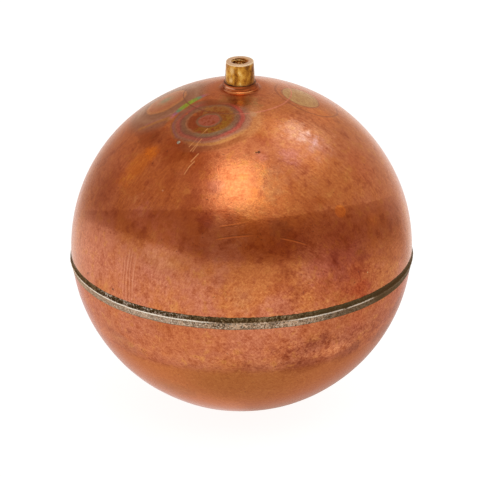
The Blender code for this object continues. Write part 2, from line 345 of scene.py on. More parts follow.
def make_vent_plug():
    """The drop of solder on the vent: a flat dome that spreads a little unevenly."""
    mesh = bpy.data.meshes.new("vent_plug_drop")
    shape = bmesh.new()
    bmesh.ops.create_uvsphere(shape, u_segments=32, v_segments=20, radius=0.85 * MM)
    for vert in shape.verts:
        vert.co *= 1 + 0.12 * noise.noise(vert.co / MM * 1.4)
        vert.co.z *= 0.5
    shape.to_mesh(mesh)
    shape.free()
    mesh.shade_smooth()
    piece = put("vent_plug_drop", mesh)
    low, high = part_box("vent_plug")
    out = ((low + high) / 2 - CENTRE).normalized()
    stand_out = out.to_track_quat("Z", "Y").to_matrix().to_4x4()
    mesh.transform(Matrix.Translation(CENTRE + out * (BALL + 0.05) * MM) @ stand_out)
    return piece


# ---- node graphs


class Graph:
    """A short way to write a node tree: each method adds a node and gives back its output."""

    def __init__(self, tree):
        self.tree = tree

    def node(self, kind, **settings):
        made = self.tree.nodes.new(kind)
        for key, value in settings.items():
            setattr(made, key, value)
        return made

    def plug(self, socket, value):
        if isinstance(value, bpy.types.NodeSocket):
            self.tree.links.new(value, socket)
        elif value is not None:
            socket.default_value = value

    def math(self, operation, a, b=None, c=None, clamp=False):
        made = self.node("ShaderNodeMath", operation=operation, use_clamp=clamp)
        for socket, value in zip(made.inputs, (a, b, c)):
            self.plug(socket, value)
        return made.outputs[0]

    def vector(self, operation, a, b=None, scale=None):
        made = self.node("ShaderNodeVectorMath", operation=operation)
        self.plug(made.inputs[0], a)
        if scale is None:
            self.plug(made.inputs[1], b)
        else:
            self.plug(made.inputs[3], scale)
        return made.outputs["Value"] if operation in ("LENGTH", "DOT_PRODUCT") else made.outputs[0]

    def add(self, a, b):
        return self.math("ADD", a, b)

    def minus(self, a, b):
        return self.math("SUBTRACT", a, b)

    def times(self, first, *others):
        for other in others:
            first = self.math("MULTIPLY", first, other)
        return first

    def mul_add(self, value, factor, base, clamp=False):
        return self.math("MULTIPLY_ADD", value, factor, base, clamp)

    def over(self, a, b):
        return self.math("DIVIDE", a, b)

    def larger(self, a, b):
        return self.math("MAXIMUM", a, b)

    def size(self, value):
        return self.math("ABSOLUTE", value)

    def dot(self, a, b):
        return self.vector("DOT_PRODUCT", a, b)

    def length(self, vector):
        return self.vector("LENGTH", vector)

    def from_axis(self, vector):
        """Distance from the vertical axis."""
        return self.length(self.vector("MULTIPLY", vector, (1, 1, 0)))

    def bearing(self, vector):
        """The level direction away from the vertical axis."""
        return self.vector("NORMALIZE", self.vector("MULTIPLY", vector, (1, 1, 0)))

    def noise(self, vector, scale, detail=3.0, rough=0.55, distort=0.0):
        made = self.node("ShaderNodeTexNoise")
        sockets = dict(Vector=vector, Scale=scale, Detail=detail, Roughness=rough, Distortion=distort)
        for name, value in sockets.items():
            self.plug(made.inputs[name], value)
        return made.outputs[0]

    def smooth(self, value, low, high):
        """0 below low, 1 above high, eased between. low may be the larger."""
        made = self.node("ShaderNodeMapRange", interpolation_type="SMOOTHSTEP")
        self.plug(made.inputs[0], value)
        ends = (high, low, 1, 0) if low > high else (low, high, 0, 1)
        for i, end in enumerate(ends, 1):
            made.inputs[i].default_value = end
        return made.outputs[0]

    def mix(self, share, a, b):
        made = self.node("ShaderNodeMix", data_type="RGBA", clamp_factor=True)
        self.plug(made.inputs[0], share)
        for socket, value in ((made.inputs[6], a), (made.inputs[7], b)):
            self.plug(socket, (*value, 1.0) if isinstance(value, tuple) else value)
        return made.outputs[2]

    def paint(self, colour, *layers):
        """Mix tones over a colour in turn. A layer is its tone, then factors that multiply to its share."""
        for tone, *shares in layers:
            colour = self.mix(self.times(*shares), colour, tone)
        return colour

    def tinted(self, colour, tint, *shares):
        """Multiply a colour by a tint, as far as the product of the shares says."""
        return self.paint(colour, (self.vector("MULTIPLY", colour, tint), *shares))

    def ramp(self, value, stops, interpolation="EASE"):
        made = self.node("ShaderNodeValToRGB")
        made.color_ramp.interpolation = interpolation
        marks = made.color_ramp.elements
        while len(marks) < len(stops):
            marks.new(0.5)
        for mark, (place, colour) in zip(marks, stops):
            mark.position = place
            mark.color = (*colour, 1.0)
        self.plug(made.inputs[0], value)
        return made.outputs[0]


def new_material(name):
    material = bpy.data.materials.new(name)
    material.use_nodes = True
    graph = Graph(material.node_tree)
    shader = material.node_tree.nodes["Principled BSDF"]
    place = graph.node("ShaderNodeTexCoord").outputs["Object"]
    centred = graph.vector("SUBTRACT", place, tuple(CENTRE))
    at = graph.vector("SCALE", centred, scale=1 / MM)
    return material, graph, shader, at


def finish_metal(graph, shader, colour, rough, height, depth, strength, **fixed):
    """Plug a metal's colour, roughness and bump in, and set the values that are the same all over it."""
    made = graph.node("ShaderNodeBump")
    made.inputs["Strength"].default_value = strength
    made.inputs["Distance"].default_value = depth
    graph.plug(made.inputs["Height"], height)
    graph.plug(shader.inputs["Normal"], made.outputs[0])
    graph.plug(shader.inputs["Base Color"], colour)
    graph.plug(shader.inputs["Roughness"], rough)
    preset(shader, **fixed)


def preset(shader, **values):
    for name, value in values.items():
        shader.inputs[name.replace("_", " ")].default_value = value


def way(turn, rise):
    """The direction that many degrees round from the front, towards +X, and that many above level."""
    turn, rise = math.radians(turn), math.radians(rise)
    return Vector((math.sin(turn) * math.cos(rise), -math.cos(turn) * math.cos(rise), math.sin(rise)))


def stretch(g, at, along, fine, coarse):
    """Noise coordinates with fine grain across a direction and coarse grain along it."""
    unit = Vector(along).normalized()
    run = g.times(g.dot(at, unit), coarse - fine)
    return g.vector("ADD", g.vector("SCALE", at, scale=fine), g.vector("SCALE", unit, scale=run))


def strokes(g, at, along, fine, coarse, detail=2, rough=0.5, distort=0):
    """Noise drawn out along a direction."""
    return g.noise(stretch(g, at, along, fine, coarse), 1, detail, rough, distort)


def cap(g, at, axis, radius):
    """Millimetres inside the circle of that radius, measured over the ball, round an axis."""
    angle = radius / BALL
    reach = g.minus(g.dot(at, way(*axis)), BALL * math.cos(angle))
    return g.over(reach, math.sin(angle))


def from_point(g, at, out):
    """The vector from the point of the ball in direction out."""
    return g.vector("SUBTRACT", at, way(*out) * BALL)


def near(g, at, out, along=None, longer=1):
    """Millimetres from the point of the ball in direction out, counted less along a direction if given."""
    gap = from_point(g, at, out)
    if along:
        gap = stretch(g, gap, along, 1, 1 / longer)
    return g.length(gap)


def drifting_rings(g, at, out, drift):
    """The radius in millimetres of the ring through each point, where the centres drift as rings grow."""
    k = Vector(drift)
    gap = from_point(g, at, out)
    side = g.dot(gap, k)
    long = g.dot(gap, gap)
    spare = 1 - k.dot(k)
    root = g.math("SQRT", g.mul_add(side, side, g.times(long, spare)))
    return g.over(g.minus(root, side), spare)


def about(g, value, middle, wide, narrow):
    """1 while value is within narrow of middle, falling to 0 at wide."""
    return g.smooth(g.size(g.minus(value, middle)), wide, narrow)


def line(g, value, width, middle=0):
    """1 where value is middle, falling to 0 at width either side."""
    return about(g, value, middle, width, width * 0.25)


def scratch(g, at, start, end, width):
    """1 along a straight mark between two points of the ball."""
    a, b = (way(*v) * BALL for v in (start, end))
    run = b - a
    gap = g.vector("SUBTRACT", at, a)
    share = g.math("DIVIDE", g.dot(gap, run), run.length_squared, clamp=True)
    off = g.vector("SUBTRACT", gap, g.vector("SCALE", run, scale=share))
    return g.smooth(g.length(off), width, width * 0.2)


def uneven(g, noises):
    """1 plus the weighted unevenness of several noises, each centred on a half."""
    total = 1
    for weight, value in noises:
        total = g.mul_add(g.minus(value, 0.5), weight, total)
    return total


def blots(g, at, colour, rag, rows):
    """Multiply soft-edged round or long blots into a colour: mostly stains, one of them painted shade on the
    upper half's highlight.
    """
    for out, radius, soft, tint, *run in rows:
        reach = g.add(near(g, at, out, *run), g.times(rag, soft * 2.2))
        colour = g.tinted(colour, tint, g.smooth(reach, radius, radius - soft))
    return colour


def by_radius(g, radius, reach, stops):
    """A ramp of tones whose places are radii in millimetres, up to reach."""
    return g.ramp(g.over(radius, reach), [(stop / reach, tone) for stop, tone in stops])


def heat_rings(g, at, colour, wobble):
    """Two round oxide stains beside the neck, and the bright line of colours where they meet."""
    x, y = g.dot(at, (1, 0, 0)), g.dot(at, (0, 1, 0))
    gap = from_point(g, at, (-28.5, 67.5))
    flat = g.vector("MULTIPLY", gap, (0.81, 1, 1))
    drift = g.dot(flat, (0.045, 0.06, 0))
    first = g.add(g.minus(g.length(flat), drift), wobble)
    second = g.add(drifting_rings(g, at, (-97, 64), (0.05, -0.2, 0.05)), wobble)
    bearing = g.bearing(flat)
    patchy = g.noise(at, 0.5, 4, 0.65)

    def zone(start, stop, soft=1):
        """1 between two radii of the first stain."""
        half = soft / 2
        return g.times(g.smooth(first, start - half, start + half), g.smooth(first, stop + half, stop - half))

    def facing(degrees, low, high):
        """1 on the side of the first stain that many degrees round from +X towards the front."""
        turned = math.radians(degrees)
        return g.smooth(g.dot(bearing, (math.cos(turned), -math.sin(turned), 0)), low, high)

    rings = by_radius(g, first, 20, [
        (3.3, (0.52, 0.16, 0.1)), (4.2, (0.34, 0.185, 0.105)), (5.1, (0.36, 0.088, 0.032)),
        (7.5, (0.37, 0.095, 0.034)), (8.4, (0.48, 0.21, 0.11)), (9, (0.35, 0.175, 0.1)),
        (10.1, (0.34, 0.165, 0.1)), (10.7, (0.35, 0.13, 0.095)), (11.4, (0.49, 0.15, 0.105)),
        (12.2, (0.48, 0.16, 0.105)), (13.1, (0.42, 0.19, 0.12)), (14.2, (0.42, 0.17, 0.09)),
    ])
    behind = g.times(g.smooth(y, -19.5, -13.5), g.smooth(x, -19, -13), g.smooth(first, 9.2, 10.6))
    speck = g.smooth(g.noise(at, 0.85, 2, 0.5), 0.5, 0.56)
    rings = g.paint(
        rings,
        ((0.38, 0.125, 0.032), facing(-20, 0, 0.6), zone(4.7, 8.8), 0.8),
        ((0.42, 0.195, 0.033), facing(60, -0.1, 0.55), zone(4.9, 8.1), g.smooth(patchy, 0.36, 0.5), 0.92),
        ((0.47, 0.215, 0.06), facing(295, 0.2, 0.75), zone(5, 9.6, 1.8), g.smooth(patchy, 0.44, 0.58), 0.85),
        ((0.33, 0.215, 0.125), facing(75, 0.45, 0.85), zone(8.3, 9.9), 0.85),
        ((0.36, 0.098, 0.03), behind),
        ((0.44, 0.11, 0.05), g.smooth(first, 3.4, 2.6), speck),
        ((0.6, 0.135, 0.095), facing(5, 0.35, 0.8), zone(11.1, 12.3), 0.9),
        ((0.54, 0.235, 0.14), facing(50, 0.15, 0.7), g.smooth(first, 12.2, 13.4)),
        ((0.68, 0.26, 0.095), facing(30, 0.35, 0.85), g.smooth(first, 13.6, 15.6)),
        ((0.4, 0.16, 0.17), line(g, first, 0.55, 13.7), facing(190, 0.72, 0.92), 0.7),
        ((0.46, 0.175, 0.05), zone(14.3, 15.3), facing(192, 0.8, 0.95), 0.8),
        ((0.64, 0.28, 0.09), facing(80, 0.45, 0.85), zone(13.7, 15.3), 0.9),
        ((0.41, 0.115, 0.038), facing(85, 0.45, 0.85), zone(15.5, 18.6), 0.8),
    )
    rings_two = by_radius(g, second, 26, [
        (1.6, (0.42, 0.35, 0.21)), (3.4, (0.56, 0.29, 0.15)), (5.5, (0.6, 0.25, 0.12)),
        (7.6, (0.59, 0.21, 0.09)), (9.3, (0.66, 0.29, 0.11)), (10.5, (0.37, 0.17, 0.095)),
        (12.6, (0.42, 0.2, 0.12)), (14.6, (0.48, 0.25, 0.155)), (17, (0.42, 0.18, 0.105)),
        (23, (0.4, 0.15, 0.08)),
    ])
    divide = cap(g, at, (9, 52.5), 49.1)
    side = g.smooth(divide, -0.5, 0.5)
    branch = g.times(scratch(g, at, (-61, 64), (-75.5, 53.2), 1.7), 0.7)
    thread = scratch(g, at, (-63, 66), (-74.5, 55.5), 0.8)
    run = near(g, at, (-69, 71))
    crest = g.ramp(g.over(run, 16), [
        (0.1, (0.38, 0.52, 0.04)), (0.26, (0.34, 0.5, 0.08)), (0.37, (0.25, 0.42, 0.25)),
        (0.5, (0.48, 0.19, 0.3)), (0.64, (0.66, 0.22, 0.2)), (0.8, (0.64, 0.31, 0.09)),
        (1, (0.42, 0.18, 0.08)),
    ])
    wide = g.mul_add(g.smooth(run, 9, 3), -0.5, g.size(divide))
    thin = g.times(g.smooth(wide, 1.8, 0.4), g.smooth(run, 15.5, 10))
    both = g.paint(
        rings_two,
        (rings, side),
        ((0.6, 0.27, 0.075), branch),
        ((0.52, 0.19, 0.19), thread, 0.7),
        (crest, thin),
    )
    edge_one = g.mix(facing(50, -0.1, 0.5), g.smooth(first, 15.6, 14), g.smooth(first, 19.8, 16.8))
    edge_two = g.smooth(second, 23.5, 17)
    off_neck = g.smooth(g.from_axis(at), 12, 19)
    share = g.larger(g.mix(side, edge_two, edge_one), g.larger(thin, branch))
    return g.paint(colour, (both, off_neck, share))


def wet_marks(g, at, colour, wobble):
    """The olive water mark behind the neck, its outlines, and the circle scribed round the neck."""
    olive = g.add(cap(g, at, (89, 69.5), 9.2), g.times(wobble, 0.4))
    outer = g.add(cap(g, at, (94, 67), 15), g.times(wobble, 0.4))
    scribed = g.add(cap(g, at, (-109, 89), 24.2), g.times(wobble, 0.25))
    in_front = g.smooth(g.dot(at, (0.25, -1, 0)), -9, -1)
    scribed_tone = g.mix(g.smooth(g.dot(at, (1, 0, 0)), -4, 2), (0.3, 0.1, 0.06), (0.78, 0.25, 0.16))
    return g.paint(
        colour,
        ((0.6, 0.35, 0.14), g.smooth(olive, 0.2, 1), 0.85),
        ((0.42, 0.16, 0.08), line(g, olive, 0.6, 0.35), 0.7),
        ((0.42, 0.12, 0.05), line(g, outer, 0.75), in_front, 0.75),
        (scribed_tone, line(g, scribed, 0.5), 0.75),
    )


# The copper's tones: BROWN and GOLD are on both halves, the other two pairs on one half each
PINK = (0.6, 0.19, 0.098)
ORANGE = (0.6, 0.18, 0.055)
BROWN = (0.43, 0.1, 0.036)
GOLD = (0.64, 0.23, 0.066)
LOWER_PINK, LOWER_ORANGE = (0.57, 0.175, 0.084), (0.57, 0.165, 0.062)

# Stains, and one darker blot that is painted shade on the soft box's highlight: direction, radius, softness
# and tint, then for long ones the way they run and how much longer
UPPER_BLOTS = [
    ((-63, 54), 9, 5, (0.72, 0.58, 0.5)),
    ((-40, 52.5), 10, 6, (0.74, 0.58, 0.5)),
    ((-29.5, 54), 6, 4, (0.8, 0.7, 0.6)),
    ((-54.5, 43.5), 7, 4, (1.16, 1.15, 0.75), (-0.55, -0.1, -0.6), 2.2),
    ((-51.5, 49.5), 5, 3, (1.15, 1.1, 0.7)),
    ((-65, 32), 9, 6, (0.84, 0.72, 0.66), (-0.3, 0, -0.9), 2),
    ((8.5, 65), 7, 4, (1.12, 1.25, 1.15)),
    ((14.5, 60.5), 5, 4, (0.85, 0.7, 0.66), (0.5, -0.4, -0.1), 2),
    ((11.5, 53.5), 4, 3, (1, 1, 1.4)),
    ((27, 52), 6, 4, (0.98, 0.98, 1.4)),
    ((41, 60.5), 9, 6, (1.22, 1.6, 2)),
    ((43.5, 55), 7, 5, (1.02, 1.15, 1.35)),
    ((-11.5, 43), 5, 4, (1, 1.02, 1.35)),
    ((-13.5, 31), 5, 3, (0.76, 0.6, 0.72)),
    ((-19, 36), 8, 5, (0.82, 0.7, 0.66)),
    ((40.5, 29.5), 3.2, 0.8, (1.3, 1.25, 0.85)),
    ((55, 22.5), 5, 4, (1.18, 1.22, 1.05)),
    ((-28.5, 16.5), 6, 4, (1.02, 1.08, 0.92), (0.85, -0.3, -0.15), 2.4),
    ((-23, 15.5), 3, 2, (1.07, 1.14, 1.08), (0.9, -0.3, -0.15), 2),
    ((-54, 9.5), 4, 3, (0.9, 0.82, 0.8)),
    ((-6, 11), 4, 3, (0.9, 0.85, 0.8), (0, 0, 1), 2),
    ((35, 10.5), 8, 6, (0.82, 0.74, 0.72)),
    ((18, 6.5), 4, 3, (0.84, 0.76, 0.74), (0, 0, 1), 1.8),
    ((15, 14), 4, 3, (0.86, 0.78, 0.76)),
    ((33, 35), 4, 3, (0.84, 0.7, 0.62)),
    ((-2.5, 81.5), 5, 4, (0.98, 0.84, 0.82)),
    ((-2, 79.5), 8, 6, (0.76, 1.15, 1), (1, 0, 0), 1.6),
    ((-54.5, 55.5), 7, 5, (0.8, 0.76, 0.85)),
    ((-22, 53), 9, 6, (0.93, 0.8, 0.72)),
    ((54.5, 55.5), 10, 8, (1.2, 1.42, 1.6)),
    ((73, 61), 10, 7, (1.22, 1.22, 1.08)),
    ((35, 11), 22, 14, (0.85, 0.68, 0.72)),
    ((43.5, 4), 14, 9, (0.9, 0.78, 0.84)),
    ((14, 19.5), 9, 6, (0.92, 0.84, 0.9)),
    ((33, 15), 4, 3, (0.78, 0.66, 0.66), (0.3, 0.2, 0.9), 1.8),
    ((30, 8), 3, 2.5, (0.76, 0.64, 0.62)),
    ((-29.5, 22), 12, 8, (1.2, 1.28, 1.5)),
    ((-7, 26), 12, 7, (1.08, 1.25, 1.5)),
    ((14.5, 28), 7, 5, (0.86, 0.9, 1)),
    ((29, 20.5), 9, 6, (1.16, 1.28, 1.25)),
    ((13.2, 9), 8, 5, (0.85, 0.73, 0.74)),
    ((0, 6), 7, 5, (1, 1.12, 1.3)),
    ((-19.5, 46), 8, 4, (0.9, 0.78, 0.74), (0.1, 0.3, -0.9), 1.8),
    ((64, 40), 12, 8, (0.97, 0.86, 0.82)),
    ((43.5, 2), 7, 5, (1, 0.84, 0.78)),
    ((69, 9), 13, 9, (1.16, 1.2, 1.25)),
    ((2, 43), 17, 9, (0.88, 1, 0.98)),
    ((14, 43), 10, 7, (0.99, 1.1, 1.26)),
    ((-17.5, 39.5), 4.5, 3.5, (0.88, 0.8, 0.82)),
    ((-45, 30), 8, 6, (1.08, 1.14, 1.4)),
    ((-43, 50), 9, 7, (1.05, 1.1, 1.25)),
    ((33, 56), 16, 10, (1, 1.06, 1.22)),
    ((-14, 19.5), 6, 4, (0.88, 0.79, 0.72)),
    ((44.7, 13.6), 6, 5, (0.86, 0.84, 0.86)),
    ((-33, 43), 5, 4, (0.86, 0.76, 0.8), (0.2, 0.2, 0.9), 1.8),
    ((18, 24), 6, 4, (0.88, 0.8, 0.84), (1, 0, 0), 1.6),
    ((28, 33.5), 5, 4, (0.9, 0.8, 0.8)),
    ((-33, 12), 4, 3, (1.04, 1.06, 1.14)),
    # Painted shade: a darker blot that trims the right edge of the soft box's highlight.
    ((6.5, 43.5), 7, 6, (0.84, 0.78, 0.8), (0, 0.7, 0.7), 1.6),
    ((15, 1.5), 5, 4, (0.84, 0.74, 0.66), (1, 0, 0), 1.8),
    ((46, 51), 9, 7, (1, 1.08, 1.36)),
    ((-40, 27.5), 8, 6, (1.08, 1.12, 1.5), (1, 0.6, 0), 2),
    ((0, 26), 6, 5, (1.08, 1.2, 1.4), (1, 0, 0), 1.8),
]

LOWER_BLOTS = [
    ((-27.5, -7), 5, 4, (0.9, 0.84, 0.74), (0.8, -0.4, 0), 2),
    ((-48, -19.5), 7, 4, (0.86, 0.9, 0.98), (0.6, -0.6, -0.25), 2.2),
    ((-34, -21.5), 6, 4, (0.9, 0.84, 0.84), (0.8, -0.5, -0.1), 2.2),
    ((26, -14), 6, 4, (0.82, 0.76, 0.76), (0.9, 0.4, 0.1), 1.8),
    ((21, -18.5), 8, 5, (0.86, 0.8, 0.8), (0.9, 0.35, 0), 2),
    ((23.5, -23), 7, 4, (0.8, 0.7, 0.68), (0.9, 0.4, 0.1), 2.2),
    ((40.5, -23), 6, 4, (0.84, 0.78, 0.78), (0.7, 0.6, 0.15), 1.8),
    ((62, -22), 5, 3, (0.8, 0.84, 0.92), (0.45, 0.85, 0.1), 2.4),
    ((68, -13), 4, 3, (0.74, 0.78, 0.86), (0.3, 0.75, 0.6), 2.4),
    ((30.5, -18.5), 6, 4, (1.34, 1.48, 1.48), (0.85, 0.5, 0), 2.2),
    ((45, -21), 5, 4, (0.82, 0.82, 0.92), (0.45, 0.85, 0.3), 1.8),
    ((-54, -14), 15, 9, (1, 1.08, 1.26)),
    ((42, -9), 9, 6, (0.98, 0.88, 0.92)),
    ((1.5, -21.5), 5, 4, (0.84, 0.76, 0.72), (1, 0, 0), 1.8),
    ((29, -11), 3, 2, (0.82, 0.74, 0.72), (0, 0, 1), 1.6),
    ((-42, -12.5), 2, 1.4, (0.74, 0.64, 0.64)),
    ((-31, -39), 9, 6, (0.86, 0.92, 0.94), (0.8, -0.6, -0.1), 2),
]

# Small marks on the upper half: direction, radius, softness, tone and share
UPPER_DOTS = [
    ((-53, 67.5), 0.9, 0.7, (0.62, 0.19, 0.045), 0.8),
    ((-45, 68.5), 1.2, 0.8, (0.6, 0.18, 0.045), 0.8),
    ((13.5, 71.5), 2.6, 2.2, (0.7, 0.37, 0.2), 0.75),
    ((10.5, 55), 0.9, 0.4, (0.12, 0.04, 0.02), 0.9),
    ((9, 55), 0.6, 0.3, (0.16, 0.05, 0.02), 0.8),
    ((-14, 38), 0.5, 0.3, (0.2, 0.06, 0.03), 0.8),
    ((-62.5, 2), 0.6, 0.3, (0.18, 0.06, 0.04), 0.85),
    ((-47.5, 1.5), 0.65, 0.3, (0.15, 0.05, 0.03), 0.9),
    ((46.5, 7), 0.45, 0.25, (0.72, 0.46, 0.22), 0.8),
    ((-34.5, 38.5), 0.5, 0.3, (0.8, 0.42, 0.28), 0.8),
    ((6, 26), 0.7, 0.5, (0.28, 0.08, 0.04), 0.5),
]

# Straight scratches on the upper half: both ends and the width
UPPER_SCRATCHES = [
    ((-25, 64), (-31, 55.5), 0.32),
    ((-25.5, 59.5), (-29, 54), 0.3),
    ((-26.5, 57), (-27.5, 54), 0.26),
    ((-23.7, 53.6), (-26.1, 50.3), 0.38),
    ((-24.3, 50.6), (-26.3, 48), 0.32),
    ((-25.9, 48.7), (-27.1, 45.5), 0.28),
]

# Curved scratches on the upper half: the axis and radius of the circle, and the stretch of x that shows
UPPER_ARCS = [
    ((-160.5, 66), 109.4, -10.5, 2.5),
    ((4.5, -34), 80.4, -12, 6),
    ((2, -22), 64.3, 16, 30),
]


def fine_marks(g, at, colour, rag, x):
    """Scratches, spots and the patch of upright grooves on the upper half."""
    for start, end, width in UPPER_SCRATCHES:
        colour = g.paint(colour, ((1, 0.52, 0.24), scratch(g, at, start, end, width), 0.8))
    for out, radius, soft, tone, share in UPPER_DOTS:
        reach = g.add(near(g, at, out), g.times(rag, soft * 2))
        colour = g.paint(colour, (tone, g.smooth(reach, radius, radius - soft), share))
    for axis, radius, low_x, high_x in UPPER_ARCS:
        arc_off = cap(g, at, axis, radius)
        reach = g.times(g.smooth(x, low_x, low_x + 3), g.smooth(x, high_x, high_x - 4), 0.65)
        colour = g.paint(
            colour,
            ((0.85, 0.27, 0.09), line(g, arc_off, 0.42), reach),
            ((0.25, 0.07, 0.025), line(g, arc_off, 0.4, -0.6), reach, 0.6),
        )
    drift = strokes(g, at, (0, 0, 1), 0.45, 0.02)
    grooves = g.math("SINE", g.mul_add(drift, 9, g.times(g.dot(at, (0.742, -0.67, 0)), 3.6)))
    patch = g.smooth(near(g, at, (-40.8, 8.5), (0, 0, 1), 3.2), 4.9, 3.2)
    return g.paint(
        colour,
        ((0.74, 0.3, 0.17), patch, g.smooth(grooves, 0.3, 0.95), 0.6),
        ((0.42, 0.11, 0.05), patch, g.smooth(grooves, -0.3, -0.95), 0.5),
    )


def neck_looks(g, at, centred, colour, rough):
    """The drawn neck, hooped, pale on one side as a painted reflection, the bead at its foot bright on its
    front as a painted highlight, and matt copper round it.
    """
    around = g.from_axis(centred)
    neck = g.smooth(around, 10.5, 8.6)
    rough = g.mul_add(g.smooth(around, 18, 10), 0.26, rough)
    rough = g.times(rough, g.mul_add(neck, -0.55, 1))
    hoops = strokes(g, centred, (0, 0, 1), 0.16, 1.1)
    drawn = g.mix(g.smooth(hoops, 0.44, 0.58), (0.19, 0.038, 0.009), (0.4, 0.086, 0.021))
    # Pale copper on the side of the neck that faces front left: a painted reflection.
    pale = g.smooth(g.dot(g.bearing(at), (-0.62, -0.78, 0)), 0.9, 0.99)
    drawn = g.paint(drawn, ((0.7, 0.32, 0.18), pale, g.smooth(hoops, 0.58, 0.44)))
    # Bright orange on the front of the bead: a painted highlight.
    bead = g.times(about(g, around, 8.45, 0.45, 0.15), g.smooth(g.dot(centred, (0, -1, 0)), 5.5, 7.8))
    return g.paint(colour, (drawn, neck, 0.9), ((0.8, 0.3, 0.1), bead, 0.75)), rough


def make_copper(name, upper):
    """Spun copper that has been handled: pink and orange, with blotches, brush strokes, specks and stains; on
    the upper half also a darker band across the front that is a painted reflection of the dark room, and
    painted light on the neck.
    """
    material, g, shader, centred = new_material(name)
    at = g.vector("SCALE", g.vector("NORMALIZE", centred), scale=BALL)
    x, z = g.dot(at, (1, 0, 0)), g.dot(at, (0, 0, 1))
    cloud = g.noise(g.vector("ADD", at, (3, 57, 22)), 0.19, 5, 0.62)
    mottle = g.noise(at, 0.62, 4, 0.62, 0.6)
    grain = g.noise(at, 1.7, 3, 0.6)
    rag = g.minus(g.noise(at, 0.33, 5, 0.65), 0.5)
    wobble = g.times(g.minus(g.noise(at, 0.13, 4, 0.5), 0.5), 2.6)

    redder = g.smooth(g.add(g.noise(at, 0.042, 3, 0.5), g.times(rag, 0.25)), 0.4, 0.62)
    if upper:
        colour = g.paint(PINK, (ORANGE, redder), (ORANGE, g.smooth(z, 22, 42), 0.55))
    else:
        colour = g.mix(redder, LOWER_PINK, LOWER_ORANGE)
    colour = g.paint(
        colour,
        (GOLD, g.smooth(cloud, 0.54, 0.67), 0.68),
        (BROWN, g.smooth(cloud, 0.47, 0.34), 0.66),
    )
    # How strong the unevenness is from place to place
    contrast = [g.mul_add(g.smooth(x, -32, 4), 0.26, 0.7), g.mul_add(g.smooth(x, 16, 40), -0.16, 1)]
    if upper:
        # A darker band across the front of the upper half, between two caps with ragged edges: a painted
        # reflection of the dark part of the room above the table.
        inside = g.mix(g.smooth(x, -6, 6), cap(g, at, (180, 67), 103.4), cap(g, at, (-163.5, 72), 101))
        below = g.larger(cap(g, at, (-39.5, -64.5), 114.2), cap(g, at, (0, -66.5), 112))
        fringe = g.times(rag, 3)
        band = g.times(g.smooth(g.add(inside, fringe), 0.4, -0.5), g.smooth(g.add(below, fringe), 1.9, -1.9))
        front = g.smooth(g.dot(at, (0, -1, 0)), 8, 26)
        colour = g.tinted(colour, (0.82, 0.72, 0.66), band, front, 0.95)
        colour = blots(g, at, colour, rag, UPPER_BLOTS)
        colour = heat_rings(g, at, colour, g.mul_add(rag, 1.2, g.times(wobble, 0.7)))
        colour = wet_marks(g, at, colour, wobble)
        contrast += [g.mul_add(g.smooth(z, 22, 12), 0.6, 0.88), g.mul_add(band, -0.28, 1)]
    else:
        zone = g.add(z, g.times(rag, 5))
        spots = g.smooth(strokes(g, at, (0, 0, 1), 0.5, 1.1, 4, 0.7), 0.5, 0.6)
        flecks = g.smooth(g.noise(g.vector("ADD", at, (31, 7, 0)), 0.42, 5, 0.72), 0.49, 0.6)
        stained = g.mul_add(g.smooth(x, -20, 20), 0.65, 0.2)
        colour = g.tinted(colour, (1.14, 1.22, 1.05), about(g, zone, -25.5, 4.5, 1), 0.6)
        colour = g.paint(colour, ((0.52, 0.154, 0.04), g.smooth(zone, -28, -33), 0.85))
        colour = g.tinted(colour, (0.72, 0.6, 0.56), about(g, zone, -29.5, 4.5, 1), spots, 0.75)
        colour = g.tinted(colour, (0.66, 0.5, 0.5), about(g, zone, -22, 11, 3), flecks, stained)
        colour = blots(g, at, colour, rag, LOWER_BLOTS)
        contrast += [g.mul_add(g.smooth(z, -31, -25), 0.65, 0.8)]

    brushed_left = strokes(g, at, (0.57, 0.32, 0.75), 1.5, 0.16)
    brushed_right = strokes(g, at, (0.77, -0.25, -0.59), 1.5, 0.16)
    streaks = g.times(g.minus(brushed_left, 0.5), g.smooth(x, -14, -34))
    streaks = g.mul_add(g.minus(brushed_right, 0.5), g.smooth(x, 8, 26), streaks)
    light = uneven(g, [
        (0.65, mottle),
        (0.3, grain),
        (0.14, strokes(g, at, (0, 0, 1), 1.3, 0.07)),
        (0.22, strokes(g, at, (0, 0, 1), 0.1, 1.4, 3, 0.6)),
        (0.4, strokes(g, at, (0.65, 0.35, -0.68), 1.5, 0.35, distort=0.8)),
        (0.36, strokes(g, at, (0.6, 0.25, 0.76), 1.5, 0.35, distort=0.8)),
    ])
    light = g.mul_add(g.minus(g.mul_add(streaks, 0.6, light), 1), g.times(*contrast), 1)
    toned = g.node("ShaderNodeCombineXYZ")
    for socket, power in zip(toned.inputs, (1, 1.75, 2)):
        g.plug(socket, g.math("POWER", light, power))
    colour = g.vector("MULTIPLY", colour, toned.outputs[0])

    pits = g.smooth(g.noise(g.vector("ADD", at, (9, 4, 1)), 1.25, 2, 0.5), 0.335, 0.29)
    clusters = g.smooth(g.noise(at, 0.11, 2, 0.5), 0.46, 0.6)
    colour = g.paint(colour, ((0.2, 0.055, 0.028), pits, clusters, 0.75))
    rough = g.mul_add(cloud, 0.16, 0.13)
    if upper:
        colour = fine_marks(g, at, colour, rag, x)
        colour, rough = neck_looks(g, at, centred, colour, rough)
    height = g.add(g.add(mottle, g.times(grain, 0.5)), streaks)
    finish_metal(g, shader, colour, rough, height, 0.0001, 0.5, Metallic=1,
                 Specular_Tint=(1, 0.89, 0.8, 1) if upper else (0.9, 0.7, 0.64, 1),
                 Sheen_Weight=0.09 if upper else 0.04, Sheen_Roughness=0.35, Sheen_Tint=(1, 0.88, 0.8, 1))
    return material


